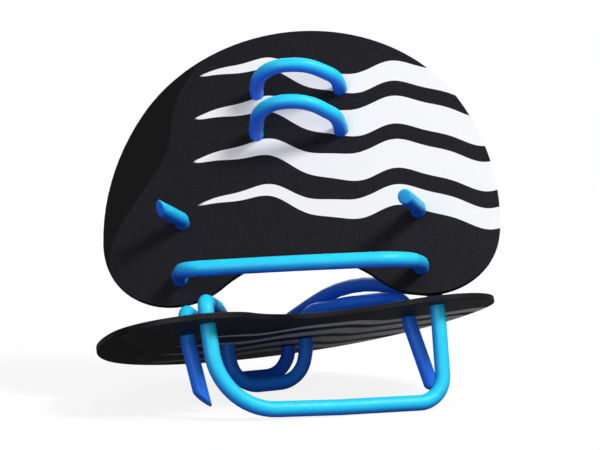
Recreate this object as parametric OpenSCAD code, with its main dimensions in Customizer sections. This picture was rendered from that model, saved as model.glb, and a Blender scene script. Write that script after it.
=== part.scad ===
// Pair of swim hand paddles, each a flat kidney-shaped plate laced with one round rubber cord.
// One paddle lies hand side down on its own loops, and its mirror-hand partner stands on it.
// Millimetres. +Z is up, +Y points away from the front view, and +X points right.

/* [Plate] */
// Width of the plate across its widest part
plate_w = 200; // [185:1:215]
// Thickness of the plate
plate_t = 3; // [2.5:0.1:4]
// Width of the bevel round both edges of the plate
rim_bevel = 0.8; // [0.4:0.1:1]
// Radius of the flat shoulder between the crown and the flank
shoulder_r = 139; // [120:1:160]
// Radius of the short flank above the lobe
flank_r = 51; // [45:1:60]
// Radius of the rounded lobe beside the wrist
lobe_r = 36.5; // [34:0.5:39]
// Angle that the crown's arc turns on each side
crown_turn = 61.5; // [58:0.5:65]
// Angle that the shoulder's arc turns
shoulder_turn = 33; // [29:0.5:36]
// Angle that the flank's arc turns
flank_turn = 11; // [8:0.5:14]
// Angle that each half of the wrist notch turns back
notch_turn = 42.5; // [39:0.5:46]

/* [Holes] */
// Play round the cord in its hole, on the radius
hole_play = 0.25; // [0.2:0.05:0.5]
// Width of the countersink round each hole
countersink = 0.6; // [0.3:0.1:0.8]
// Distance of the side holes in from the widest part of the plate
side_hole_inset = 40.5; // [37:0.5:44]
// Height of the wrist strap's holes above the lowest point of the lobes
strap_hole_up = 14.3; // [13:0.1:16]
// Distance from the wrist strap's holes up to the tail holes
tail_hole_up = 32; // [28:1:36]
// Distance between the two holes of a finger loop
finger_hole_gap = 44; // [42:1:50]
// Distance of the outer finger loop below the top of the crown
finger_row_down = 40.2; // [37:0.1:44]
// Distance between the two finger loops
finger_row_pitch = 26; // [24:1:30]

/* [Cord] */
// Diameter of the round rubber cord
cord_d = 7.5; // [7:0.1:8]
// Gap between a swinging loop's round foot and the end of the link under it
foot_gap = 0.3; // [0.25:0.05:0.5]
// Height of the line that a loop swings about, above the hand face
foot_up = 4.2; // [4.1:0.1:5]
// Bend radius of the cord where it leaves a hole on the water side
link_bend_r = 9.5; // [8:0.5:9.5]
// Bend radius of the cord at the strap holes, where it is pulled tighter
strap_link_bend_r = 6; // [5:0.5:6]
// Depth of the outer left link's middle line below the hand face
outer_link_depth = 12; // [12:0.5:15]
// Depth of the inner left link's middle line below the hand face, at its start, middle and end
inner_link_depth = [10.5, 15.5, 13]; // [10.5:0.5:17]
// Depth of the right link that passes under the other, at its start, middle and end
under_link_depth = [14.5, 13.8, 10.8]; // [10.8:0.1:15]
// Depth of the right link that passes over the other, at its highest point
over_link_depth = 25.5; // [25:0.5:28]
// Depth of that link beside its finger hole and beside its strap hole
over_link_end_depth = [13.5, 8.2]; // [8.2:0.1:16]

/* [Standing paddle] */
// Height of the wrist strap above its swing line, at its left bend, middle and right bend
standing_strap_rise = [31.3, 34.8, 30.8]; // [28:0.1:40]
// How far the left and right ends of the wrist strap's bar stand in from its holes
standing_strap_in = [7, 7]; // [0:0.5:10]
// Radius of the wrist strap's left and right bends
standing_strap_r = [13, 22]; // [8:1:24]
// Lean of the wrist strap, towards the wrist if negative
standing_strap_lean = -23; // [-24:1:0]
// Height of the outer finger loop above its swing line
standing_tip_loop_rise = 18.3; // [18:0.1:22]
// Height of the inner finger loop above its swing line
standing_palm_loop_rise = 22.6; // [20:0.1:25]
// Lean of both finger loops towards the finger tips
standing_loop_lean = 4; // [0:1:12]
// Length of the left and right tails above the hand face
standing_tail_len = [24.5, 32]; // [22:0.5:38]
// Lean of the left and right tails
standing_tail_lean = [23, 23]; // [10:1:28]
// Direction of each tail's lean, counted from the plate's right
standing_tail_turn = [216, 238]; // [0:1:359]
// Slant of the cut across each tail's end, to face the lean if positive
standing_tail_cut = [48, 15]; // [-50:1:50]

/* [Lying paddle] */
// Height of the wrist strap above its swing line, at its left bend, middle and right bend
lying_strap_rise = [35.9, 40.1, 42.8]; // [34:0.1:46]
// How far the left and right ends of the wrist strap's bar stand in from its holes
lying_strap_in = [1, 4]; // [0:0.5:10]
// Radius of the wrist strap's left and right bends
lying_strap_r = [30, 14]; // [8:1:30]
// Lean of the wrist strap
lying_strap_lean = 0; // [-5:1:5]
// Height of the outer finger loop above its swing line
lying_tip_loop_rise = 10.5; // [9.5:0.1:12]
// Height of the inner finger loop above its swing line
lying_palm_loop_rise = 17.6; // [16:0.1:19]
// Lean of both finger loops towards the finger tips
lying_loop_lean = 5; // [0:1:8]
// Length of the left and right tails above the hand face
lying_tail_len = [31.5, 38]; // [28:0.1:40]
// Lean of the left and right tails
lying_tail_lean = [7.5, 12]; // [5:0.5:18]
// Direction of each tail's lean, counted from the plate's right
lying_tail_turn = [0, 0]; // [0:1:359]
// Slant of the cut across each tail's end, to face the lean if positive
lying_tail_cut = [-50, -30]; // [-50:1:50]

/* [How the pair stands] */
// Turn of the lying paddle about the vertical
lying_turn = 22; // [15:1:28]
// Fall of the lying paddle towards its finger tips
lying_fall = 15; // [14:0.1:16]
// Rise of the lying paddle towards its right side
lying_rise = 2.4; // [2:0.1:3]
// Height of the lying paddle's middle, at its hand face, above the table
lying_up = 29.3; // [29:0.1:33]
// Turn of the standing paddle about the vertical
standing_turn = -6; // [-12:1:0]
// Angle that the standing paddle leans back from upright
standing_back = 31; // [28:1:34]
// Roll of the standing paddle in its own plane
standing_roll = 3.6; // [2:0.1:5]
// Foot of the standing paddle's right lobe from the middle of the lying paddle's: right, back, up
standing_foot_at = [-1.9, -32.7, 12.5]; // [-35:0.1:14]
// Middle of the lying paddle from the middle of the pair's box: right and back
lying_at = [-10.9, 9.4]; // [-20:0.1:20]

/* [Hidden] */
$fn = 48;

LEFT = 0;
RIGHT = 1;
plate_colour = "#2b2b31";
cord_colour = "#1e86f0";
arc_step = 4;
cord_sides = 12;
bend_step = 15;
foot_steps = 4;

// The right half of the outline is a chain of arcs, from the crown's top round to the notch's middle.
crown_r = shoulder_r - (shoulder_r - plate_w / 2) / sin(crown_turn);
lobe_turn = 180 + notch_turn - crown_turn - shoulder_turn - flank_turn;
arc_radii = [crown_r, shoulder_r, flank_r, lobe_r];
arc_turns = [crown_turn, shoulder_turn, flank_turn, lobe_turn];

// Heading at the start of arc i, clockwise from +X, and that arc's centre
function heading(i) = i == 0 ? 0 : heading(i - 1) + arc_turns[i - 1];
function arc_centre(i) = i == 0 ? [0, -arc_radii[0]]
    : arc_centre(i - 1) + (arc_radii[i - 1] - arc_radii[i]) * [sin(heading(i)), cos(heading(i))];
function on_arc(i, turn, inset) =
    arc_centre(i) + (arc_radii[i] - inset) * [sin(heading(i) + turn), cos(heading(i) + turn)];

notch_start = on_arc(3, lobe_turn, 0);
notch_r = notch_start[0] / sin(notch_turn);
notch_centre = [0, notch_start[1] - notch_r * cos(notch_turn)];
lobe_bottom = arc_centre(3)[1] - lobe_r;
mid_y = lobe_bottom / 2;
half_h = -lobe_bottom / 2;

// Half of the outline, moved in by inset, as points about the plate's middle
function half_outline(inset) = [
    for (i = [0:3], k = [0:ceil(arc_turns[i] / arc_step) - 1])
        on_arc(i, arc_turns[i] * k / ceil(arc_turns[i] / arc_step), inset) - [0, mid_y],
    for (k = [0:ceil(notch_turn / arc_step)])
        let (a = notch_turn * (1 - k / ceil(notch_turn / arc_step)))
        notch_centre + (notch_r + inset) * [sin(a), cos(a)] - [0, mid_y]];
function outline(inset) =
    let (half = half_outline(inset), n = len(half))
    concat(half, [for (k = [n - 2:-1:1]) [-half[k][0], half[k][1]]]);

// Hole centres on the hand face
side_x = plate_w / 2 - side_hole_inset;
strap_y = -half_h + strap_hole_up;
tail_y = strap_y + tail_hole_up;
finger_x = finger_hole_gap / 2;
tip_y = half_h - finger_row_down;
palm_y = tip_y - finger_row_pitch;
STRAP_HOLES = [[-side_x, strap_y], [side_x, strap_y]];
TAIL_HOLES = [[-side_x, tail_y], [side_x, tail_y]];
TIP_HOLES = [[-finger_x, tip_y], [finger_x, tip_y]];
PALM_HOLES = [[-finger_x, palm_y], [finger_x, palm_y]];
HOLES = concat(STRAP_HOLES, TAIL_HOLES, TIP_HOLES, PALM_HOLES);

// A link's end stops just under the round foot that rolls on it.
stub_up = foot_up - cord_d / 2 - foot_gap;
tail_joint_up = 0.5;
tail_knee = cord_d / 2;

// ---- Where each paddle stands ----

// Middle of a plate's right lobe, and the lobe's lowest point on the standing paddle
lobe_middle = arc_centre(3) - [0, mid_y];
foot = lobe_middle - lobe_r * [sin(standing_roll), cos(standing_roll)];

module lying_tilt() {
    rotate([0, 0, lying_turn])
        rotate([-lying_fall, 0, 0])
        rotate([0, -lying_rise, 0])
        children();
}

module undo_lying_tilt() {
    rotate([0, lying_rise, 0])
        rotate([lying_fall, 0, 0])
        rotate([0, 0, -lying_turn])
        children();
}

module place_lying() {
    translate([lying_at[0], lying_at[1], lying_up])
        lying_tilt()
        mirror([0, 0, 1])
        children();
}

// The standing paddle's right lobe stands beside the lying paddle's.
module place_standing() {
    translate([lying_at[0], lying_at[1], lying_up])
        lying_tilt()
        translate([lobe_middle[0], lobe_middle[1], 0])
        undo_lying_tilt()
        translate(standing_foot_at)
        rotate([0, 0, standing_turn])
        rotate([90 - standing_back, 0, 0])
        rotate([0, 0, standing_roll])
        translate([-foot[0], -foot[1], 0])
        children();
}

// ---- Plate ----

// The plate's body, with a flat bevel round both faces. Its hand face is at z = 0.
module plate_blank() {
    rings = [[rim_bevel, -plate_t], [0, rim_bevel - plate_t], [0, -rim_bevel], [rim_bevel, 0]];
    loops = [for (r = rings) [for (p = outline(r[0])) [p[0], p[1], r[1]]]];
    n = len(loops[0]);
    last = (len(loops) - 1) * n;
    sides = [for (j = [0:len(loops) - 2], k = [0:n - 1])
        [j * n + k, j * n + (k + 1) % n, (j + 1) * n + (k + 1) % n, (j + 1) * n + k]];
    polyhedron([for (l = loops) each l],
        concat(sides, [[for (k = [n - 1:-1:0]) k]], [[for (k = [0:n - 1]) last + k]]));
}

module cord_hole() {
    hole_r = cord_d / 2 + hole_play;
    translate([0, 0, -2 * plate_t])
        cylinder(r = hole_r, h = 4 * plate_t);
    translate([0, 0, -countersink])
        cylinder(r1 = hole_r, r2 = hole_r + 2 * countersink, h = 2 * countersink);
    translate([0, 0, -plate_t - countersink])
        cylinder(r1 = hole_r + 2 * countersink, r2 = hole_r, h = 2 * countersink);
}

module plate() {
    color(plate_colour)
        difference() {
            plate_blank();
            for (p = HOLES)
                translate([p[0], p[1], 0])
                    cord_hole();
        }
}

// ---- Cord ----

function direction(p, q) = atan2(q[1] - p[1], q[0] - p[0]);
// Signed turn at corner i of a flat path, from -180 to 180
function corner_turn(pts, i) =
    let (a = direction(pts[i], pts[i + 1]) - direction(pts[i - 1], pts[i]))
    a > 180 ? a - 360 : a < -180 ? a + 360 : a;

// Rings through the bend of radius r at corner i, each as [point, heading, radius, slant]
function bend_rings(pts, i, r) =
    let (
        turn = corner_turn(pts, i),
        side = turn > 0 ? 1 : -1,
        heading_in = direction(pts[i - 1], pts[i]),
        start = pts[i] - r * tan(abs(turn) / 2) * [cos(heading_in), sin(heading_in)],
        centre = start + side * r * [-sin(heading_in), cos(heading_in)],
        steps = ceil(abs(turn) / bend_step)
    )
    [for (k = [0:steps])
        let (h = heading_in + turn * k / steps)
        [centre + side * r * [sin(h), -cos(h)], h, cord_d / 2, 0]];

// Rings that close a round foot at an end, running outwards when way is 1 and inwards when it is -1
function foot_rings(p, h, way) =
    [for (k = [1:foot_steps])
        let (a = 90 * (way > 0 ? k : foot_steps + 1 - k) / (foot_steps + 0.5))
        [p + way * cord_d / 2 * sin(a) * [cos(h), sin(h)], h, cord_d / 2 * cos(a), 0]];

// All rings along a flat path with a bend of radius radii[i] at corner i. round_a and round_b give
// the path's ends round feet, and slant tips the last ring for a slanting cut.
function path_rings(pts, radii, round_a, round_b, slant) =
    let (
        last = len(pts) - 1,
        h_a = direction(pts[0], pts[1]),
        h_b = direction(pts[last - 1], pts[last])
    )
    concat(
        round_a ? foot_rings(pts[0], h_a, -1) : [],
        [[pts[0], h_a, cord_d / 2, 0]],
        [for (i = [1:last - 1]) each bend_rings(pts, i, radii[i])],
        [[pts[last], h_b, cord_d / 2, slant]],
        round_b ? foot_rings(pts[last], h_b, 1) : []);

// Round cord swept along a flat path in the XY plane
module cord_path(pts, radii, round_a = false, round_b = false, slant = 0) {
    rings = path_rings(pts, radii, round_a, round_b, slant);
    n = cord_sides;
    last = (len(rings) - 1) * n;
    corners = [for (r = rings, j = [0:n - 1])
        let (
            across = r[2] * cos(360 * j / n),
            tangent = [cos(r[1]), sin(r[1])],
            normal = [-sin(r[1]), cos(r[1])],
            p = r[0] + across * normal + across * tan(r[3]) * tangent
        )
        [p[0], p[1], r[2] * sin(360 * j / n)]];
    sides = [for (i = [0:len(rings) - 2], j = [0:n - 1])
        [i * n + j, (i + 1) * n + j, (i + 1) * n + (j + 1) % n, i * n + (j + 1) % n]];
    polyhedron(corners,
        concat(sides, [[for (j = [0:n - 1]) j]], [[for (j = [n - 1:-1:0]) last + j]]));
}

// Stands a flat path up over the line from hole a to hole b: its X runs along that line and its
// Y becomes the height above the hand face, tipped sideways by lean about a line at height up.
module over_holes(a, b, up = 0, lean = 0) {
    translate([a[0], a[1], up])
        rotate([0, 0, direction(a, b)])
        rotate([90 - lean, 0, 0])
        children();
}

// A loop on the hand side, from one round foot to the other
module loop(holes, pts, radii, lean) {
    color(cord_colour)
        over_holes(holes[LEFT], holes[RIGHT], foot_up, lean)
        cord_path(pts, radii, round_a = true, round_b = true);
}

// The wrist strap: rise is given at its left bend, middle and right bend
module wrist_strap(rise, inward, r, lean) {
    span = 2 * side_x;
    loop(STRAP_HOLES,
        [[0, 0], [inward[LEFT], rise[0]], [span / 2, rise[1]], [span - inward[RIGHT], rise[2]],
            [span, 0]],
        [0, r[LEFT], 1.5 * span, r[RIGHT], 0], lean);
}

// A finger loop that was pushed over to the left: its right leg slants
module pushed_loop(holes, rise, lean) {
    span = finger_hole_gap;
    loop(holes,
        [[0, 0], [0.1 * span, rise], [0.64 * span, rise], [0.96 * span, 0.38 * rise], [span, 0]],
        [0, 0.37 * span, 0.5 * span, 0.25 * span, 0], lean);
}

// A finger loop that the paddle's weight has flattened, with its legs drawn in by inward
module resting_loop(holes, rise, inward, r, lean) {
    span = finger_hole_gap;
    loop(holes, [[0, 0], [inward[LEFT], rise], [span - inward[RIGHT], rise], [span, 0]],
        [0, r[LEFT], r[RIGHT], 0], lean);
}

// A link on the water side, from hole a to hole b, with both ends brought up through the plate.
// r holds its bend radius at each end.
module link(a, b, depths, middle, end_a, end_b, r = [link_bend_r, link_bend_r]) {
    span = norm(b - a);
    color(cord_colour)
        over_holes(a, b)
        cord_path(
            [[0, end_a], [0, -depths[0]], [span * middle, -depths[1]], [span, -depths[2]],
                [span, end_b]],
            [0, r[0], 0.9 * span, r[1], 0]);
}

// From the left tail's hole to the outer finger loop
module outer_link() {
    link(TAIL_HOLES[LEFT], TIP_HOLES[LEFT],
        [outer_link_depth, outer_link_depth + 1, outer_link_depth], 0.5, tail_joint_up, stub_up);
}

// From the wrist strap to the inner finger loop
module inner_link() {
    link(STRAP_HOLES[LEFT], PALM_HOLES[LEFT],
        inner_link_depth, 0.6, stub_up, stub_up, [strap_link_bend_r, link_bend_r]);
}

// From the outer finger loop to the wrist strap, crossing over the other right link
module over_link() {
    link(TIP_HOLES[RIGHT], STRAP_HOLES[RIGHT],
        [over_link_end_depth[0], over_link_depth, over_link_end_depth[1]], 0.45,
        stub_up, stub_up, [link_bend_r, strap_link_bend_r]);
}

// From the inner finger loop to the right tail's hole
module under_link() {
    link(PALM_HOLES[RIGHT], TAIL_HOLES[RIGHT], under_link_depth, 0.45, stub_up, tail_joint_up);
}

// A free end of the cord on the hand side, leaning over and cut at a slant
module tail(hole, length, lean, turn, cut) {
    run = (length - tail_knee) * tan(lean);
    color(cord_colour)
        translate([hole[0], hole[1], 0])
        rotate([0, 0, turn])
        rotate([90, 0, 0])
        cord_path([[0, tail_joint_up], [0, tail_knee], [run, length]], [0, tail_knee, 0],
            slant = cut);
}

// ---- Nodes ----

module standing_plate() { place_standing() plate(); }
module standing_wrist_strap() {
    place_standing()
        wrist_strap(standing_strap_rise, standing_strap_in, standing_strap_r, standing_strap_lean);
}
module standing_tip_loop() {
    place_standing() pushed_loop(TIP_HOLES, standing_tip_loop_rise, standing_loop_lean);
}
module standing_palm_loop() {
    place_standing() pushed_loop(PALM_HOLES, standing_palm_loop_rise, standing_loop_lean);
}
module standing_outer_link() { place_standing() outer_link(); }
module standing_inner_link() { place_standing() inner_link(); }
module standing_over_link() { place_standing() over_link(); }
module standing_under_link() { place_standing() under_link(); }
module standing_tail(side) {
    place_standing()
        tail(TAIL_HOLES[side], standing_tail_len[side], standing_tail_lean[side],
            standing_tail_turn[side], standing_tail_cut[side]);
}

module lying_plate() { place_lying() plate(); }
module lying_wrist_strap() {
    place_lying()
        wrist_strap(lying_strap_rise, lying_strap_in, lying_strap_r, lying_strap_lean);
}
module lying_tip_loop() {
    place_lying() resting_loop(TIP_HOLES, lying_tip_loop_rise, [1, 7], [9, 14], lying_loop_lean);
}
module lying_palm_loop() {
    place_lying() resting_loop(PALM_HOLES, lying_palm_loop_rise, [1.5, 5], [15, 16], lying_loop_lean);
}
module lying_outer_link() { place_lying() outer_link(); }
module lying_inner_link() { place_lying() inner_link(); }
module lying_over_link() { place_lying() over_link(); }
module lying_under_link() { place_lying() under_link(); }
module lying_tail(side) {
    place_lying()
        tail(TAIL_HOLES[side], lying_tail_len[side], lying_tail_lean[side],
            lying_tail_turn[side], lying_tail_cut[side]);
}

standing_plate();
standing_wrist_strap();
standing_tip_loop();
standing_palm_loop();
standing_outer_link();
standing_inner_link();
standing_over_link();
standing_under_link();
standing_tail(LEFT);  // standing_left_tail
standing_tail(RIGHT);  // standing_right_tail
lying_plate();
lying_wrist_strap();
lying_tip_loop();
lying_palm_loop();
lying_outer_link();
lying_inner_link();
lying_over_link();
lying_under_link();
lying_tail(LEFT);  // lying_left_tail
lying_tail(RIGHT);  // lying_right_tail
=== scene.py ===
"""Dresses a pair of swim hand paddles: two moulded plates, each laced with one round rubber cord.

Lengths are in metres, except where a docstring says millimetres, and angles are in degrees. A
paddle is made flat, in its own measure: X to the right, Y towards the finger tips and Z up from
the hand face. It is then put where it stands or lies.
"""

import logging
from dataclasses import dataclass, field
from enum import Enum
from math import cos, degrees, floor, hypot, pi, radians, sin, tan

import bpy
from mathutils import Matrix, Vector

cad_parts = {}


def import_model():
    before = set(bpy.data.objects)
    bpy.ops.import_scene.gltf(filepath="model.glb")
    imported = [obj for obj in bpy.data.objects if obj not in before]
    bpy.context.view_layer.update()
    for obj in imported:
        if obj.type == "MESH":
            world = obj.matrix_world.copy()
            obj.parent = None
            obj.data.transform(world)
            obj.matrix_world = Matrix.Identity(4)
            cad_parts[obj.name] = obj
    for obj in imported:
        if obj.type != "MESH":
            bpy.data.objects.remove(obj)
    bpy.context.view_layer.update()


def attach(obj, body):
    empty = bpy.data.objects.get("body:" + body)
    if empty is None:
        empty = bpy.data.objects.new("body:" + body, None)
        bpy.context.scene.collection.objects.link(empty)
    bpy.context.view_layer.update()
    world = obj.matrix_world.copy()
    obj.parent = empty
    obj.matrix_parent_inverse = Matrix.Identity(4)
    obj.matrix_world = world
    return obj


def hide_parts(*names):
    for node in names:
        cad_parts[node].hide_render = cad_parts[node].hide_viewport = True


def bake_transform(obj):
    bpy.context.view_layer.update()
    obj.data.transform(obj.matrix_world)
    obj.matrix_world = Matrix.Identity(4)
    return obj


log = logging.getLogger("hand_paddles")

MM = 0.001
ROWS = ("strap", "tail", "tip", "palm")
MAP_SPAN = 200 * MM


# ---------------------------------------------------------------------------------------------
# Choices and sizes
# ---------------------------------------------------------------------------------------------


class Side(Enum):
    """The two ends of a pair of holes."""

    LEFT = 0
    RIGHT = 1


class Face(Enum):
    """The material slots of a plate, by what the swimmer's hand or the water touches."""

    HAND = 0
    WATER = 1


@dataclass(frozen=True)
class PlateSizes:
    """Sizes of one moulded plate.

    The right half of its outline runs through five arcs, from the crown's top over the shoulder,
    the flank and the lobe to the notch's middle. Each arc has a turn in degrees. The crown's and
    the notch's radii and the lobe's turn are worked out, so that the outline closes.
    """

    width: float = 200 * MM
    thickness: float = 3 * MM
    rim_round: float = 1.4 * MM
    shoulder_r: float = 139 * MM
    flank_r: float = 51 * MM
    lobe_r: float = 36.5 * MM
    crown_turn: float = 61.5
    shoulder_turn: float = 33.0
    flank_turn: float = 11.0
    notch_turn: float = 42.5
    arc_step: float = 3.0
    hole_r: float = 3.8 * MM
    mouth_round: float = 0.55 * MM
    side_hole_inset: float = 40.5 * MM
    strap_hole_up: float = 14.3 * MM
    tail_hole_up: float = 32 * MM
    finger_gap: float = 44 * MM
    finger_row_down: float = 40.2 * MM
    finger_row_pitch: float = 26 * MM


@dataclass(frozen=True)
class CordSizes:
    """Sizes of the round cord and of the bends that both paddles share.

    A depth is measured down from the hand face. long_bend is the radius of a stretch's middle
    bend, as a share of its run. tail_spare is how many times its length a tail is made before its
    end is cut. The painted light's depth is how far down a hole the cord's painted light changes
    from the hand side's share to the water side's. flex, where a loop's bend would begin and end
    above the hand face, is not used.
    """

    diameter: float = 7.5 * MM
    swing_up: float = 4.2 * MM
    foot_r: float = 12 * MM
    bend_r: float = 9.5 * MM
    strap_bend_r: float = 6 * MM
    outer_depth: float = 12 * MM
    inner_depth: tuple[float, float, float] = (10.5 * MM, 15.5 * MM, 13 * MM)
    under_depth: tuple[float, float, float] = (10.8 * MM, 13.8 * MM, 14.5 * MM)
    over_depth: float = 25.5 * MM
    over_end_depth: tuple[float, float] = (13.5 * MM, 8.2 * MM)
    long_bend: float = 0.9
    tail_knee: float = 3.75 * MM
    tail_spare: float = 1.2
    end_round: float = 1.1 * MM
    meet_up: float = -1.5 * MM
    # How far down a hole the painted light changes from the hand side's share to the water side's.
    painted_light_depth: float = 6 * MM
    flex: tuple[float, float] = (0.5 * MM, 10 * MM)


# The distances between a finger loop's two holes and the wrist strap's two, in millimetres.
FINGER_SPAN = PlateSizes.finger_gap / MM
STRAP_SPAN = (PlateSizes.width - 2 * PlateSizes.side_hole_inset) / MM


@dataclass(frozen=True)
class LoopShape:
    """A loop's corners and their bend radii, in millimetres, and its lean to the finger tips.

    Each corner is its distance from the left hole and its height.
    """

    corners: tuple[tuple[float, float], ...]
    radii: tuple[float, ...]
    lean: float


@dataclass(frozen=True)
class TailShape:
    """A free end: its height in millimetres, its lean and turn, and its cut end's slant."""

    length: float
    lean: float
    turn: float
    slant: float


@dataclass(frozen=True)
class Stance:
    """Where a paddle is put: its middle in millimetres, its turns and whether it is face down."""

    middle: tuple[float, float, float]
    turn: float
    tip: float
    roll: float
    hand_side_down: bool

    def matrix(self) -> Matrix:
        """The placing of a paddle made flat, in the part's frame."""
        place = Matrix.Translation([c * MM for c in self.middle])
        place @= Matrix.Rotation(radians(self.turn), 4, "Z")
        place @= Matrix.Rotation(radians(self.tip), 4, "X")
        if self.hand_side_down:
            place @= Matrix.Rotation(radians(self.roll), 4, "Y")
            return place @ Matrix.Diagonal((1, 1, -1, 1))
        return place @ Matrix.Rotation(radians(self.roll), 4, "Z")


# ---------------------------------------------------------------------------------------------
# Modelling by hand
# ---------------------------------------------------------------------------------------------


def clear_selection() -> None:
    """Leaves nothing selected, out of edit mode."""
    if bpy.context.object and bpy.context.object.mode != "OBJECT":
        bpy.ops.object.mode_set(mode="OBJECT")
    bpy.ops.object.select_all(action="DESELECT")


def take(piece: bpy.types.Object) -> None:
    """Makes a piece the only selected and the active object."""
    clear_selection()
    piece.select_set(True)
    bpy.context.view_layer.objects.active = piece


def edit_all(piece: bpy.types.Object) -> None:
    """Opens a piece in edit mode with all of it selected."""
    take(piece)
    bpy.ops.object.mode_set(mode="EDIT")
    bpy.ops.mesh.select_all(action="SELECT")


def apply_modifier(piece: bpy.types.Object, modifier: bpy.types.Modifier) -> None:
    """Applies one modifier to a piece."""
    take(piece)
    bpy.ops.object.modifier_apply(modifier=modifier.name)


def put_in_place(piece: bpy.types.Object, place: Matrix) -> None:
    """Moves a piece's mesh to its place and turns its faces outwards.

    Args:
        piece: a mesh made flat, in a paddle's own measure.
        place: the paddle's placing in the part's frame.
    """
    piece.data.transform(place)
    edit_all(piece)
    bpy.ops.mesh.normals_make_consistent(inside=False)
    bpy.ops.object.mode_set(mode="OBJECT")


def rounded_path(corners: list[Vector], radii: list[float], step: float = 6.0) -> list[Vector]:
    """Rounds the inner corners of a bent path in space.

    Args:
        corners: the path's ends and corners, in order.
        radii: one bend radius for each corner; the ends' values aren't used.
        step: the largest turn between two points of a bend, in degrees.

    Returns:
        The points of the rounded path.
    """
    straight = radians(0.5)
    points = [corners[0].copy()]
    for i in range(1, len(corners) - 1):
        back = (corners[i - 1] - corners[i]).normalized()
        on = (corners[i + 1] - corners[i]).normalized()
        turn = pi - back.angle(on)
        if turn < straight:
            points.append(corners[i].copy())
            continue
        reach = radii[i] * tan(turn / 2)
        centre = corners[i] + (back + on).normalized() * (radii[i] / cos(turn / 2))
        start = corners[i] + back * reach
        axis = (-back).cross(on).normalized()
        steps = max(2, floor(degrees(turn) / step) + 1)
        for k in range(steps + 1):
            turned = Matrix.Rotation(turn * k / steps, 3, axis) @ (start - centre)
            points.append(centre + turned)
    points.append(corners[-1].copy())
    return points


def cord_along(name: str, points: list[Vector], diameter: float) -> bpy.types.Object:
    """Makes a round cord along a path, as a mesh with closed ends.

    Args:
        name: the piece's name.
        points: the path of the cord's middle.
        diameter: the cord's diameter.

    Returns:
        The cord's mesh object.
    """
    clear_selection()
    bpy.ops.curve.primitive_nurbs_path_add(radius=diameter)
    cord = bpy.context.object
    cord.name = name
    cord.data.splines.clear()
    spline = cord.data.splines.new("POLY")
    spline.points.add(len(points) - 1)
    for knot, p in zip(spline.points, points):
        knot.co = (*p, 1)
    cord.data.dimensions = "3D"
    cord.data.twist_mode = "MINIMUM"
    cord.data.bevel_depth = diameter / 2
    cord.data.bevel_resolution = 7
    cord.data.use_fill_caps = True
    take(cord)
    bpy.ops.object.convert(target="MESH")
    cord = bpy.context.object
    edit_all(cord)
    bpy.ops.mesh.remove_doubles(threshold=1e-6)
    bpy.ops.object.mode_set(mode="OBJECT")
    return cord


# ---------------------------------------------------------------------------------------------
# Finishes
# ---------------------------------------------------------------------------------------------


class Sheet:
    """A material's node tree, with short calls that add and join its nodes."""

    def __init__(self, name: str) -> None:
        """Starts a material that holds only a Principled shader and its output."""
        self.material = bpy.data.materials.new(name)
        self.material.use_nodes = True
        self.nodes = self.material.node_tree.nodes
        self.links = self.material.node_tree.links
        self.shader = self.nodes["Principled BSDF"]

    def add(self, kind: str, **settings: object) -> bpy.types.Node:
        """Adds a node of a kind, with its settings."""
        node = self.nodes.new(kind)
        for key, value in settings.items():
            setattr(node, key, value)
        return node

    def join(self, out: bpy.types.NodeSocket, into: bpy.types.NodeSocket) -> None:
        """Links one socket to another."""
        self.links.new(out, into)

    def sum(self, kind: str, *terms: object) -> bpy.types.NodeSocket:
        """Adds a Math node.

        Args:
            kind: the Math node's operation, such as "ADD".
            terms: sockets or numbers, one for each input.

        Returns:
            The node's value.
        """
        node = self.add("ShaderNodeMath", operation=kind)
        for k, term in enumerate(terms):
            if isinstance(term, (int, float)):
                node.inputs[k].default_value = term
            else:
                self.join(term, node.inputs[k])
        return node.outputs[0]

    def fade(
        self, value: object, low: float, high: float, smooth: bool = True
    ) -> bpy.types.NodeSocket:
        """Turns low..high into 0..1, held at both ends.

        Args:
            value: the socket that is read.
            low: the value that gives 0.
            high: the value that gives 1.
            smooth: whether the change eases in and out.

        Returns:
            The value from 0 to 1.
        """
        node = self.add("ShaderNodeMapRange")
        node.interpolation_type = "SMOOTHSTEP" if smooth else "LINEAR"
        self.join(value, node.inputs["Value"])
        node.inputs["From Min"].default_value = low
        node.inputs["From Max"].default_value = high
        return node.outputs["Result"]

    def noise(self, scale: float, detail: float = 2.0, rough: float = 0.5) -> bpy.types.NodeSocket:
        """Adds noise on the object's own place."""
        place = self.add("ShaderNodeTexCoord")
        node = self.add("ShaderNodeTexNoise")
        self.join(place.outputs["Object"], node.inputs["Vector"])
        node.inputs["Scale"].default_value = scale
        node.inputs["Detail"].default_value = detail
        node.inputs["Roughness"].default_value = rough
        return node.outputs["Fac"]

    def mix(self, share: object, low: object, high: object) -> bpy.types.NodeSocket:
        """Mixes two colours, each a socket or red, green and blue, by a share from 0 to 1."""
        node = self.add("ShaderNodeMix", data_type="RGBA")
        self.join(share, node.inputs[0])
        for value, socket in ((low, node.inputs[6]), (high, node.inputs[7])):
            if isinstance(value, tuple):
                socket.default_value = (*value, 1)
            else:
                self.join(value, socket)
        return node.outputs[2]

    def bump(self, height: bpy.types.NodeSocket, strength: float, distance: float) -> None:
        """Raises the surface by a height, on top of any bump that it has."""
        node = self.add("ShaderNodeBump")
        node.inputs["Strength"].default_value = strength
        node.inputs["Distance"].default_value = distance
        self.join(height, node.inputs["Height"])
        into = self.shader.inputs["Normal"]
        if into.is_linked:
            self.join(into.links[0].from_socket, node.inputs["Normal"])
        self.join(node.outputs["Normal"], into)


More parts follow.
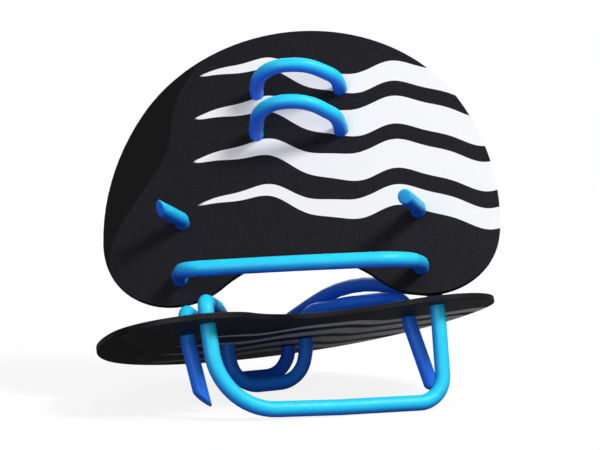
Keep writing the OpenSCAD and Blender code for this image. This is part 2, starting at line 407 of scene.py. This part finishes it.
@dataclass(frozen=True)
class CordRubber:
    """Smooth satin rubber in its own deep blue, with a paler blue painted on as light.

    The painted light grows from deep to pale as a side's normal turns to the side that the light
    falls from, up, front and right, and only on stretches that lie open.
    """

    # pale is painted light, a lit copy of the deep blue; deep is the cord's own blue.
    pale: tuple[float, float, float] = (0.016, 0.68, 1.0)
    deep: tuple[float, float, float] = (0.015, 0.15, 0.98)
    # Painted light: the side it falls from, and the span over which it grows as a normal turns to
    # it.
    painted_light_side: tuple[float, float, float] = (0.28, -0.48, 0.83)
    painted_light_span: tuple[float, float] = (-0.3, 0.65)
    cloud: tuple[float, float] = (0.94, 0.08)
    roughness: tuple[float, float] = (0.38, 0.5)
    glow: float = 0.15

    def tone(self, piece: bpy.types.Object, painted_light_reach: list[float]) -> None:
        """Paints light into a piece: writes at each point the share of the pale, painted-light
        blue.

        Args:
            piece: the cord's mesh, in its place.
            painted_light_reach: each point's most painted light, from 0, hidden, to 1.
        """
        side = Vector(self.painted_light_side).normalized()
        low, high = self.painted_light_span
        pale = piece.data.attributes.new("painted_light_share", "FLOAT", "POINT")
        for vertex, opened in zip(piece.data.vertices, painted_light_reach):
            turned = (vertex.normal.dot(side) - low) / (high - low)
            pale.data[vertex.index].value = opened * min(1.0, max(0.0, turned))

    def material(self) -> bpy.types.Material:
        """Builds the rubber's material."""
        sheet = Sheet("cord_rubber")
        cloudy = sheet.fade(sheet.noise(60, 2), 0.3, 0.7)
        # Painted light: the stored share, thinned at random, mixes the pale lit blue into the
        # deep.
        share = sheet.add("ShaderNodeAttribute", attribute_name="painted_light_share")
        least, swing = self.cloud
        uneven = sheet.sum("MULTIPLY_ADD", cloudy, swing, least)
        colour = sheet.mix(
            sheet.sum("MULTIPLY", share.outputs["Fac"], uneven), self.deep, self.pale
        )
        sheet.join(colour, sheet.shader.inputs["Base Color"])
        skin = sheet.noise(420, 3, 0.6)
        rough = sheet.fade(skin, 0.3, 0.7)
        spread = self.roughness[1] - self.roughness[0]
        sheet.join(
            sheet.sum("MULTIPLY_ADD", rough, spread, self.roughness[0]),
            sheet.shader.inputs["Roughness"],
        )
        sheet.bump(sheet.noise(2600, 2, 0.6), strength=0.12, distance=0.08 * MM)
        sheet.shader.inputs["Specular IOR Level"].default_value = 0.3
        sheet.shader.inputs["Subsurface Weight"].default_value = self.glow
        sheet.shader.inputs["Subsurface Radius"].default_value = (0.02, 0.12, 1.0)
        sheet.shader.inputs["Subsurface Scale"].default_value = 3 * MM
        return sheet.material


@dataclass(frozen=True)
class MouldedPlate:
    """Fine-grained dark plastic: a darker side panel, and a printed motif on the hand face.

    Lengths and places are in millimetres on the flat plate. shine and roughness are for the hand
    face and the water face. small_wave is a length and a height. swell, top_fade and foot_fade go
    from where there is no ink to where there is the most. gate is the crest height that takes ink
    at no cover, and its change up to full cover.
    """

    body: tuple[float, float, float] = (0.0135, 0.0132, 0.0175)
    body_shade: tuple[float, float, float] = (0.0075, 0.0075, 0.0105)
    panel: tuple[float, float, float] = (0.0035, 0.0035, 0.0036)
    ink: tuple[float, float, float] = (0.84, 0.845, 0.86)
    shine: tuple[float, float] = (0.12, 0.14)
    roughness: tuple[float, float] = (0.5, 0.4)
    panel_x: float = 67.0
    panel_bow: float = 22.0
    panel_foot: float = 28.0
    panel_foot_top: float = 19.0
    panel_foot_run: float = 72.0
    panel_shift: float = 0.5
    seam: float = 0.5
    wave_pitch: float = 27.0
    wave_height: float = 5.0
    wave_length: float = 74.0
    small_wave: tuple[float, float] = (31.0, 1.1)
    small_wave_start: float = 1.2
    wave_tilt: float = 0.12
    swell: tuple[float, float] = (-58.0, 34.0)
    top_fade: tuple[float, float] = (68.0, 44.0)
    foot_fade: tuple[float, float] = (-38.0, -16.0)
    gate: tuple[float, float] = (1.06, -1.5)
    ink_edge: float = 0.012

    def across(self, sheet: Sheet) -> tuple[bpy.types.NodeSocket, bpy.types.NodeSocket]:
        """The place on the plate, in millimetres from its middle, read from its own UV map."""
        place = sheet.add("ShaderNodeUVMap", uv_map="plate_place")
        split = sheet.add("ShaderNodeSeparateXYZ")
        sheet.join(place.outputs["UV"], split.inputs["Vector"])
        span = MAP_SPAN / MM
        x = sheet.sum("MULTIPLY_ADD", split.outputs["X"], span, -span / 2)
        y = sheet.sum("MULTIPLY_ADD", split.outputs["Y"], span, -span / 2)
        return x, y

    def panel_edge(self, sheet: Sheet, x: object, y: object) -> bpy.types.NodeSocket:
        """Millimetres to the right of the side panel's edge, a bow that runs into a foot."""
        above = sheet.sum("MAXIMUM", sheet.sum("SUBTRACT", y, self.panel_bow), 0.0)
        square = sheet.sum("SUBTRACT", self.panel_x**2, sheet.sum("POWER", above, 2.0))
        bow = sheet.sum("SQRT", sheet.sum("MAXIMUM", square, 1.0))
        below = sheet.sum("SUBTRACT", self.panel_foot_top, y)
        foot = sheet.fade(below, 0.0, self.panel_foot_run)
        foot = sheet.sum("MULTIPLY", foot, self.panel_foot)
        right = sheet.sum("ADD", x, self.panel_shift)
        return sheet.sum("ADD", right, sheet.sum("ADD", bow, foot))

    def ripples(self, sheet: Sheet, x: object, y: object) -> bpy.types.NodeSocket:
        """Ink cover from 0 to 1: level ripples that swell from the left to the right rim."""
        swing = sheet.sum("SINE", sheet.sum("MULTIPLY", x, 2 * pi / self.wave_length))
        length, height = self.small_wave
        phase = sheet.sum("MULTIPLY_ADD", x, 2 * pi / length, self.small_wave_start)
        small = sheet.sum("SINE", phase)
        level = sheet.sum("MULTIPLY_ADD", swing, self.wave_height, y)
        level = sheet.sum("MULTIPLY_ADD", small, height, level)
        level = sheet.sum("MULTIPLY_ADD", x, self.wave_tilt, level)
        crest = sheet.sum("COSINE", sheet.sum("MULTIPLY", level, 2 * pi / self.wave_pitch))
        swell = sheet.fade(x, *self.swell, smooth=False)
        top = sheet.fade(level, *self.top_fade)
        foot = sheet.fade(level, *self.foot_fade)
        cover = sheet.sum("MULTIPLY", swell, sheet.sum("MULTIPLY", top, foot))
        shut, change = self.gate
        gate = sheet.sum("MULTIPLY_ADD", cover, change, shut)
        over = sheet.sum("SUBTRACT", crest, gate)
        return sheet.fade(over, -self.ink_edge, self.ink_edge, smooth=False)

    def material(self, face: Face) -> bpy.types.Material:
        """Builds the plastic for one face.

        Args:
            face: the hand face carries the motif, and the water face is plain.

        Returns:
            The material.
        """
        sheet = Sheet(f"moulded_plate_{face.name.lower()}")
        x, y = self.across(sheet)
        mottle = sheet.fade(sheet.noise(900, 2, 0.6), 0.32, 0.68)
        body = sheet.mix(mottle, self.body_shade, self.body)
        edge = self.panel_edge(sheet, x, y)
        on_panel = sheet.fade(edge, self.seam / 2, -self.seam / 2, smooth=False)
        colour = sheet.mix(on_panel, body, self.panel)
        rough = sheet.sum("MULTIPLY_ADD", mottle, 0.1, self.roughness[face.value])
        rough = sheet.sum("MULTIPLY_ADD", on_panel, 0.06, rough)
        if face is Face.HAND:
            ink = self.ripples(sheet, x, y)
            ink = sheet.sum("MULTIPLY", ink, sheet.sum("SUBTRACT", 1.0, on_panel))
            colour = sheet.mix(ink, colour, self.ink)
            rough = sheet.sum("MULTIPLY_ADD", ink, -0.08, rough)
        sheet.join(colour, sheet.shader.inputs["Base Color"])
        sheet.join(rough, sheet.shader.inputs["Roughness"])
        sheet.shader.inputs["Specular IOR Level"].default_value = self.shine[face.value]
        seam = sheet.fade(sheet.sum("ABSOLUTE", edge), 0.0, self.seam)
        sheet.bump(seam, strength=0.5, distance=0.15 * MM)
        sheet.bump(sheet.noise(2300, 3, 0.65), strength=0.22, distance=0.06 * MM)
        return sheet.material


# ---------------------------------------------------------------------------------------------
# A paddle
# ---------------------------------------------------------------------------------------------


@dataclass
class Paddle:
    """One plate laced with one cord.

    The cord's painted light is given for each stretch, as a share above and below the hand face,
    from 0, none where it lies hidden, to 1. A stretch not listed has the plain share: full above,
    little below.
    """

    name: str
    stance: Stance
    strap: LoopShape
    tip_loop: LoopShape
    palm_loop: LoopShape
    tails: tuple[TailShape, TailShape]
    # The painted light's share for each stretch, and for the rest: hand side, water side.
    painted_light_by_stretch: dict[str, tuple[float, float]] = field(default_factory=dict)
    plain_painted_light: tuple[float, float] = (1.0, 0.1)
    plate: PlateSizes = field(default_factory=PlateSizes)
    cord: CordSizes = field(default_factory=CordSizes)

    @property
    def body(self) -> str:
        """The body that the plate and the fixed stretches ride on."""
        return f"{self.name}_paddle"

    def arcs(self) -> list[tuple[Vector, float]]:
        """The right half of the outline.

        Returns:
            Each arc's centre and its turn, clockwise, from the crown's top to the notch's middle.
        """
        p = self.plate
        crown_r = p.shoulder_r - (p.shoulder_r - p.width / 2) / sin(radians(p.crown_turn))
        lobe_turn = 180 + p.notch_turn - p.crown_turn - p.shoulder_turn - p.flank_turn
        radii = [crown_r, p.shoulder_r, p.flank_r, p.lobe_r]
        turns = [p.crown_turn, p.shoulder_turn, p.flank_turn, lobe_turn]
        centre = Vector((0, -crown_r, 0))
        heading = 0.0
        arcs = [(centre.copy(), turns[0])]
        for i in range(1, 4):
            heading += radians(turns[i - 1])
            centre = centre + (radii[i - 1] - radii[i]) * Vector((sin(heading), cos(heading), 0))
            arcs.append((centre.copy(), turns[i]))
        end = heading + radians(lobe_turn)
        last = centre + p.lobe_r * Vector((sin(end), cos(end), 0))
        notch_r = last.x / sin(radians(p.notch_turn))
        arcs.append((Vector((0, last.y - notch_r * cos(radians(p.notch_turn)), 0)), -p.notch_turn))
        return arcs

    def half_height(self) -> float:
        """Half of the plate's height, from the lobes' lowest point to the crown's top."""
        return (self.plate.lobe_r - self.arcs()[3][0].y) / 2

    def holes(self, row: str) -> tuple[Vector, Vector]:
        """The left and right hole of a row: strap, tail, tip or palm."""
        p = self.plate
        low = -self.half_height() + p.strap_hole_up
        high = self.half_height() - p.finger_row_down
        side = p.width / 2 - p.side_hole_inset
        x, y = {
            "strap": (side, low),
            "tail": (side, low + p.tail_hole_up),
            "tip": (p.finger_gap / 2, high),
            "palm": (p.finger_gap / 2, high - p.finger_row_pitch),
        }[row]
        return Vector((-x, y, 0)), Vector((x, y, 0))

    def spin_outline(self) -> bpy.types.Object:
        """Spins the outline's right half, arc by arc from the crown's top, and mirrors it.

        Returns:
            The closed outline, as edges on the hand face.
        """
        top = Vector((0, self.half_height(), 0))
        clear_selection()
        bpy.ops.mesh.primitive_plane_add(size=10 * MM)
        plate = bpy.context.object
        plate.name = f"{self.name}_dressed_plate"
        edit_all(plate)
        bpy.ops.mesh.merge(type="CENTER")
        bpy.ops.transform.translate(value=top)
        for centre, turn in self.arcs():
            bpy.ops.mesh.spin(
                steps=max(6, round(abs(turn) / self.plate.arc_step)),
                angle=radians(turn),
                center=centre + top,
                axis=(0, 0, 1),
            )
        bpy.ops.object.mode_set(mode="OBJECT")
        log.info("outline has %d points", len(plate.data.vertices))
        half = plate.modifiers.new("other_half", "MIRROR")
        half.merge_threshold = 1e-5
        apply_modifier(plate, half)
        edit_all(plate)
        bpy.ops.mesh.remove_doubles(threshold=1e-6)
        bpy.ops.object.mode_set(mode="OBJECT")
        return plate

    def draw_out(self, outline: bpy.types.Object) -> None:
        """Fills the outline and draws it out, down from the hand face, to the thickness."""
        edit_all(outline)
        bpy.ops.mesh.edge_face_add()
        bpy.ops.mesh.extrude_region_move(
            TRANSFORM_OT_translate={"value": (0, 0, -self.plate.thickness)}
        )
        bpy.ops.mesh.select_all(action="SELECT")
        bpy.ops.mesh.normals_make_consistent(inside=False)
        bpy.ops.object.mode_set(mode="OBJECT")

    def round_edges(self, plate: bpy.types.Object) -> None:
        """Rounds the rim and the mouths of the holes."""
        rim = plate.modifiers.new("round_rim", "BEVEL")
        rim.width = self.plate.rim_round
        rim.segments = 6
        rim.limit_method = "WEIGHT"
        self.weigh_edges(plate)
        apply_modifier(plate, rim)

    def shade_evenly(self, plate: bpy.types.Object) -> None:
        """Shades the rounded rim smooth and keeps the two faces flat."""
        take(plate)
        bpy.ops.object.shade_smooth_by_angle(angle=radians(40))
        even = plate.modifiers.new("even_shade", "WEIGHTED_NORMAL")
        even.keep_sharp = True
        even.weight = 100
        apply_modifier(plate, even)

    def build_plate(self) -> bpy.types.Object:
        """Models the plate: a spun outline, drawn out, bored, rounded and finished.

        Returns:
            The finished plate, in its place.
        """
        plate = self.spin_outline()
        self.draw_out(plate)
        self.bore(plate)
        self.round_edges(plate)
        self.map_place(plate)
        put_in_place(plate, self.stance.matrix())
        self.split_faces(plate)
        self.shade_evenly(plate)
        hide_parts(f"{self.name}_plate")
        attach(plate, self.body)
        return plate

    def bore(self, plate: bpy.types.Object) -> None:
        """Cuts the eight holes out of the plate with one joined set of round bars."""
        clear_selection()
        bars = []
        for row in ROWS:
            for hole in self.holes(row):
                bpy.ops.mesh.primitive_cylinder_add(
                    vertices=48, radius=self.plate.hole_r, depth=20 * MM, location=hole
                )
                bars.append(bpy.context.object)
        for bar in bars:
            bar.select_set(True)
        bpy.ops.object.join()
        joined = bpy.context.object
        cut = plate.modifiers.new("holes", "BOOLEAN")
        cut.operation = "DIFFERENCE"
        cut.solver = "EXACT"
        cut.object = joined
        apply_modifier(plate, cut)
        bpy.data.objects.remove(joined)

    def weigh_edges(self, plate: bpy.types.Object) -> None:
        """Marks the sharp edges for the bevel: the rim in full, and a hole's mouth in part."""
        mesh = plate.data
        weight = mesh.attributes.new("bevel_weight_edge", "FLOAT", "EDGE")
        flat: dict[tuple[int, int], int] = {}
        for face in mesh.polygons:
            if abs(face.normal.z) > 0.9:
                for key in face.edge_keys:
                    flat[key] = flat.get(key, 0) + 1
        centres = [h for row in ROWS for h in self.holes(row)]
        near = 1.2 * self.plate.hole_r
        mouth = self.plate.mouth_round / self.plate.rim_round
        for edge in mesh.edges:
            if flat.get(tuple(sorted(edge.vertices)), 0) != 1:
                continue
            a, b = (mesh.vertices[v].co for v in edge.vertices)
            if abs(a.z - b.z) > 1e-6:
                continue
            at_hole = any(hypot(a.x - h.x, a.y - h.y) < near for h in centres)
            weight.data[edge.index].value = mouth if at_hole else 1.0

    def map_place(self, plate: bpy.types.Object) -> None:
        """Writes each corner's place on the flat plate to a UV map, MAP_SPAN to the unit."""
        place = plate.data.uv_layers.new(name="plate_place")
        for loop in plate.data.loops:
            co = plate.data.vertices[loop.vertex_index].co
            place.data[loop.index].uv = (co.x / MAP_SPAN + 0.5, co.y / MAP_SPAN + 0.5)

    def split_faces(self, plate: bpy.types.Object) -> None:
        """Gives the hand face and its side of the rim the printed material, the rest the plain."""
        finish = MouldedPlate()
        rim_share = 0.35
        for face in Face:
            plate.data.materials.append(finish.material(face))
        hand = (self.stance.matrix().to_3x3() @ Vector((0, 0, 1))).normalized()
        for polygon in plate.data.polygons:
            on_hand = polygon.normal.dot(hand) > rim_share
            polygon.material_index = (Face.HAND if on_hand else Face.WATER).value

    def finish_cord(
        self,
        piece: bpy.types.Object,
        nodes: list[str],
        swings: str | None = None,
    ) -> bpy.types.Object:
        """Dresses a stretch of cord and, unless it is a loop, ties it to its body.

        Args:
            piece: the stretch, made flat, in the paddle's own measure.
            nodes: the solids that it stands for, without the paddle's name.
            swings: the loop that it is, or None for a stretch that keeps still.

        Returns:
            The same piece.
        """
        c = self.cord
        place = self.stance.matrix()
        # Painted light: each point takes its stretch's share for its side of the hand face.
        hand_side_light, water_side_light = self.painted_light_by_stretch.get(nodes[0], self.plain_painted_light)
        painted_light_reach = [
            water_side_light + (hand_side_light - water_side_light) * min(1.0, max(0.0, v.co.z / c.painted_light_depth + 1))
            for v in piece.data.vertices
        ]
        put_in_place(piece, place)
        CordRubber().tone(piece, painted_light_reach)
        rubber = bpy.data.materials.get("cord_rubber") or CordRubber().material()
        piece.data.materials.clear()
        piece.data.materials.append(rubber)
        take(piece)
        bpy.ops.object.shade_smooth_by_angle(angle=radians(35))
        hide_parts(*[f"{self.name}_{node}" for node in nodes])
        if swings:
            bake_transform(piece)
        else:
            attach(piece, self.body)
        return piece

    def build_loop(self, row: str, node: str, shape: LoopShape) -> bpy.types.Object:
        """Models a loop on the hand side, from inside one hole to inside the other.

        Args:
            row: the row of holes that it stands in.
            node: the solid's name, without the paddle's.
            shape: its corners and lean.

        Returns:
            The finished loop.
        """
        c = self.cord
        left, right = self.holes(row)
        lean = radians(shape.lean)
        corners = [left + Vector((0, 0, c.meet_up))]
        for along, up in shape.corners:
            rise = up * MM
            height = c.swing_up + rise * cos(lean)
            corners.append(left + Vector((along * MM, rise * sin(lean), height)))
        corners.append(right + Vector((0, 0, c.meet_up)))
        radii = [0.0, *[r * MM for r in shape.radii], 0.0]
        radii[1] = radii[-2] = c.foot_r
        piece = cord_along(f"{self.name}_dressed_{node}", rounded_path(corners, radii), c.diameter)
        return self.finish_cord(piece, [node], swings=node)

    def link_corners(
        self, a: Vector, b: Vector, depths: tuple[float, float, float], middle: float
    ) -> list[Vector]:
        """The corners of a water-side stretch from hole a to hole b, its ends in the holes."""
        up = Vector((0, 0, self.cord.meet_up))
        low = [
            a + Vector((0, 0, -depths[0])),
            a.lerp(b, middle) + Vector((0, 0, -depths[1])),
            b + Vector((0, 0, -depths[2])),
        ]
        return [a + up, *low, b + up]

    def tail_corners(self, hole: Vector, tail: TailShape) -> list[Vector]:
        """The corners of a free end, from its cut end down to its knee."""
        run = (tail.length * MM - self.cord.tail_knee) * tan(radians(tail.lean))
        turn = radians(tail.turn)
        knee = hole + Vector((0, 0, self.cord.tail_knee))
        end = hole + Vector((run * cos(turn), run * sin(turn), tail.length * MM))
        return [knee + (end - knee) * self.cord.tail_spare, knee]

    def cut_tail(self, piece: bpy.types.Object, hole: Vector, tail: TailShape) -> None:
        """Cuts a free end at a slant, closes it and softens the cut's edge."""
        end, knee = self.tail_corners(hole, tail)
        tip = knee + (end - knee) / self.cord.tail_spare
        along = (end - knee).normalized()
        turn = radians(tail.turn)
        side = along.cross(Vector((-sin(turn), cos(turn), 0))).normalized()
        cut = (along - side * tan(radians(tail.slant))).normalized()
        edit_all(piece)
        bpy.ops.mesh.bisect(plane_co=tip, plane_no=cut, use_fill=True, clear_outer=True)
        bpy.ops.mesh.bevel(
            offset=self.cord.end_round, segments=4, affect="EDGES", clamp_overlap=True
        )
        bpy.ops.object.mode_set(mode="OBJECT")

    def build_tail_stretch(
        self,
        node: str,
        side: Side,
        row: str,
        depths: tuple[float, float, float],
        middle: float,
    ) -> bpy.types.Object:
        """Models a free end together with the stretch that it runs on into.

        Args:
            node: the stretch's solid, without the paddle's name.
            side: the side of the plate.
            row: the finger row where the stretch ends.
            depths: its depths under the hand face, at the tail's hole, midway and at its end.
            middle: where midway lies, as a share of its run.

        Returns:
            The finished stretch.
        """
        c = self.cord
        tail = self.tails[side.value]
        tail_hole = self.holes("tail")[side.value]
        finger_hole = self.holes(row)[side.value]
        stretch = self.link_corners(tail_hole, finger_hole, depths, middle)[1:]
        corners = [*self.tail_corners(tail_hole, tail), *stretch]
        run = (finger_hole - tail_hole).length
        radii = [0.0, c.tail_knee, c.bend_r, c.long_bend * run, c.bend_r, 0.0]
        piece = cord_along(f"{self.name}_dressed_{node}", rounded_path(corners, radii), c.diameter)
        self.cut_tail(piece, tail_hole, tail)
        return self.finish_cord(piece, [node, f"{side.name.lower()}_tail"])

    def build_plain_stretch(
        self,
        node: str,
        a: Vector,
        b: Vector,
        depths: tuple[float, float, float],
        middle: float,
        bends: tuple[float, float],
    ) -> bpy.types.Object:
        """Models a stretch on the water side between two loops.

        Args:
            node: the solid's name, without the paddle's.
            a: the hole where it begins.
            b: the hole where it ends.
            depths: its depths under the hand face, at its beginning, midway and at its end.
            middle: where midway lies, as a share of its run.
            bends: the bend radii at its beginning and its end.

        Returns:
            The finished stretch.
        """
        c = self.cord
        corners = self.link_corners(a, b, depths, middle)
        radii = [0.0, bends[0], c.long_bend * (b - a).length, bends[1], 0.0]
        piece = cord_along(f"{self.name}_dressed_{node}", rounded_path(corners, radii), c.diameter)
        return self.finish_cord(piece, [node])

    def build(self) -> list[bpy.types.Object]:
        """Builds the whole paddle.

        Returns:
            Its pieces.
        """
        c = self.cord
        left, right = Side.LEFT.value, Side.RIGHT.value
        pieces = [
            self.build_plate(),
            self.build_loop("strap", "wrist_strap", self.strap),
            self.build_loop("tip", "tip_loop", self.tip_loop),
            self.build_loop("palm", "palm_loop", self.palm_loop),
            self.build_tail_stretch(
                "outer_link",
                Side.LEFT,
                "tip",
                (c.outer_depth, c.outer_depth + MM, c.outer_depth),
                middle=0.5,
            ),
            self.build_tail_stretch("under_link", Side.RIGHT, "palm", c.under_depth, middle=0.55),
            self.build_plain_stretch(
                "inner_link",
                self.holes("strap")[left],
                self.holes("palm")[left],
                c.inner_depth,
                middle=0.6,
                bends=(c.strap_bend_r, c.bend_r),
            ),
            self.build_plain_stretch(
                "over_link",
                self.holes("tip")[right],
                self.holes("strap")[right],
                (c.over_end_depth[0], c.over_depth, c.over_end_depth[1]),
                middle=0.45,
                bends=(c.bend_r, c.strap_bend_r),
            ),
        ]
        for piece in pieces:
            log.info("%s: %d faces", piece.name, len(piece.data.polygons))
        return pieces


def pushed_loop(rise: float, lean: float) -> LoopShape:
    """A finger loop that was pushed over to the left, so that its right leg slants."""
    span = FINGER_SPAN
    corners = (
        (0, 0), (0.1 * span, rise), (0.64 * span, rise), (0.96 * span, 0.38 * rise), (span, 0)
    )
    return LoopShape(corners, (0, 0.37 * span, 0.5 * span, 0.25 * span, 0), lean)


def resting_loop(
    rise: float, inward: tuple[float, float], r: tuple[float, float], lean: float
) -> LoopShape:
    """A finger loop that the paddle's weight has flattened.

    Args:
        rise: its height.
        inward: how far its left and right bends stand in from the holes.
        r: the radii of the two bends.
        lean: its lean towards the finger tips, in degrees.

    Returns:
        The loop's shape.
    """
    corners = ((0, 0), (inward[0], rise), (FINGER_SPAN - inward[1], rise), (FINGER_SPAN, 0))
    return LoopShape(corners, (0, *r, 0), lean)


def strap_loop(
    rise: tuple[float, float, float],
    inward: tuple[float, float],
    r: tuple[float, float],
    lean: float,
) -> LoopShape:
    """The wrist strap.

    Args:
        rise: its heights at the left bend, the middle and the right bend.
        inward: how far its left and right bends stand in from the holes.
        r: the radii of the two bends.
        lean: its lean towards the finger tips, in degrees.

    Returns:
        The strap's shape.
    """
    span = STRAP_SPAN
    corners = (
        (0, 0), (inward[0], rise[0]), (span / 2, rise[1]), (span - inward[1], rise[2]), (span, 0)
    )
    return LoopShape(corners, (0, r[0], 1.5 * span, r[1], 0), lean)


# ---------------------------------------------------------------------------------------------
# Floor, light and camera
# ---------------------------------------------------------------------------------------------


@dataclass(frozen=True)
class Studio:
    """A pale floor, soft light from the upper right front, and a low camera at the front.

    sky is how bright the world is to the part. floor_glow is how bright the floor is to the
    camera, near the part and far from it, and floor_gloss is how bright it is in reflections.
    """

    camera_at: tuple[float, float, float] = (1.0 * MM, -729.8 * MM, 107.1 * MM)
    camera_down: float = 1.5
    lens: float = 85.8
    aim: tuple[float, float, float] = (0, 0, 0.1)
    key_power: float = 18.0
    fill_power: float = 8.5
    back_power: float = 7.0
    sky: float = 0.2
    floor_tone: float = 0.16
    floor_glow: tuple[float, float] = (0.86, 0.98)
    floor_gloss: float = 0.06

    def lamp(self, name: str, at: tuple[float, float, float], size: float, power: float) -> None:
        """Adds one soft square lamp that faces the part."""
        clear_selection()
        bpy.ops.object.light_add(type="AREA", location=at)
        lamp = bpy.context.object
        lamp.name = name
        lamp.data.shape = "SQUARE"
        lamp.data.size = size
        lamp.data.energy = power
        lamp.rotation_euler = (Vector(self.aim) - Vector(at)).to_track_quat("-Z", "Y").to_euler()

    def build_floor(self) -> None:
        """Adds the pale floor, which keeps the shadow and shows white to the camera."""
        clear_selection()
        bpy.ops.mesh.primitive_plane_add(size=12)
        floor_piece = bpy.context.object
        floor_piece.name = "floor"
        sheet = Sheet("pale_floor")
        sheet.shader.inputs["Base Color"].default_value = (*[self.floor_tone] * 3, 1)
        sheet.shader.inputs["Roughness"].default_value = 0.9
        sheet.shader.inputs["Specular IOR Level"].default_value = 0.0
        place = sheet.add("ShaderNodeTexCoord")
        away = sheet.add("ShaderNodeVectorMath", operation="LENGTH")
        sheet.join(place.outputs["Object"], away.inputs[0])
        far = sheet.fade(away.outputs["Value"], 0.2, 1.6)
        near_glow, far_glow = self.floor_glow
        level = sheet.sum("MULTIPLY_ADD", far, far_glow - near_glow, near_glow)
        path = sheet.add("ShaderNodeLightPath")
        glow = sheet.add("ShaderNodeEmission")
        glow.inputs["Color"].default_value = (1, 1, 1, 1)
        seen = sheet.sum("MULTIPLY", path.outputs["Is Camera Ray"], level)
        seen = sheet.sum("MULTIPLY_ADD", path.outputs["Is Glossy Ray"], self.floor_gloss, seen)
        sheet.join(seen, glow.inputs["Strength"])
        both = sheet.add("ShaderNodeAddShader")
        out = sheet.nodes["Material Output"]
        sheet.join(sheet.shader.outputs[0], both.inputs[0])
        sheet.join(glow.outputs[0], both.inputs[1])
        sheet.join(both.outputs[0], out.inputs["Surface"])
        floor_piece.data.materials.append(sheet.material)

    def build_sky(self) -> None:
        """Sets the world: an even soft sky that the camera sees as white."""
        world = bpy.context.scene.world or bpy.data.worlds.new("sky")
        bpy.context.scene.world = world
        world.use_nodes = True
        nodes, links = world.node_tree.nodes, world.node_tree.links
        back = nodes["Background"]
        back.inputs["Color"].default_value = (1, 1, 1, 1)
        path = nodes.new("ShaderNodeLightPath")
        seen = nodes.new("ShaderNodeMath")
        seen.operation = "MULTIPLY_ADD"
        links.new(path.outputs["Is Camera Ray"], seen.inputs[0])
        seen.inputs[1].default_value = 1 - self.sky
        seen.inputs[2].default_value = self.sky
        links.new(seen.outputs[0], back.inputs["Strength"])

    def build_camera(self) -> None:
        """Adds the camera and makes it the scene's own."""
        clear_selection()
        bpy.ops.object.camera_add(
            location=self.camera_at, rotation=(radians(90 - self.camera_down), 0, 0)
        )
        camera = bpy.context.object
        camera.name = "camera"
        camera.data.lens = self.lens
        camera.data.sensor_width = 36
        bpy.context.scene.camera = camera

    def build(self) -> None:
        """Builds the whole studio."""
        self.build_camera()
        self.build_floor()
        self.build_sky()
        self.lamp("key", (0.85, -0.6, 1.15), 0.4, self.key_power)
        self.lamp("fill", (-0.5, -1.35, 0.45), 0.9, self.fill_power)
        self.lamp("back", (-0.3, 1.4, 0.9), 0.9, self.back_power)
        bpy.context.scene.view_settings.view_transform = "Standard"


# ---------------------------------------------------------------------------------------------
# The two paddles
# ---------------------------------------------------------------------------------------------


def standing_paddle() -> Paddle:
    """The paddle that stands, leaning back, with its hand side to the front."""
    return Paddle(
        name="standing",
        stance=Stance((0.453, 7.002, 122.434), -6, 59, 3.6, hand_side_down=False),
        strap=strap_loop((31.3, 34.8, 30.8), (7, 7), (13, 22), -23),
        tip_loop=pushed_loop(18.3, 4),
        palm_loop=pushed_loop(22.6, 4),
        tails=(TailShape(24.5, 23, 216, 48), TailShape(32, 23, 238, 15)),
    )


def lying_paddle() -> Paddle:
    """The paddle that lies hand side down on its loops."""
    return Paddle(
        name="lying",
        stance=Stance((-10.9, 9.4, 29.3), 22, -15, -2.4, hand_side_down=True),
        strap=strap_loop((35.9, 40.1, 42.8), (1, 4), (30, 14), 0),
        tip_loop=resting_loop(10.5, (1, 7), (9, 14), 5),
        palm_loop=resting_loop(17.6, (1.5, 5), (15, 16), 5),
        tails=(TailShape(31.5, 7.5, 0, -50), TailShape(38, 12, 0, -30)),
        # Painted light only on the stretches that lie open; the hidden ones keep their own deep
        # blue.
        painted_light_by_stretch={
            "tip_loop": (0.0, 0.0),
            "palm_loop": (0.15, 0.0),
            "outer_link": (0.1, 1.0),
            "inner_link": (1.0, 1.0),
            "over_link": (0.1, 0.1),
            "under_link": (0.1, 0.1),
        },
    )


def main() -> None:
    """Builds the studio and both paddles, and logs how many pieces each has."""
    logging.basicConfig(level=logging.INFO, format="%(name)s: %(message)s")
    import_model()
    Studio().build()
    for paddle in (lying_paddle(), standing_paddle()):
        log.info("%s paddle: %d pieces", paddle.name, len(paddle.build()))


if __name__ == "__main__":
    main()
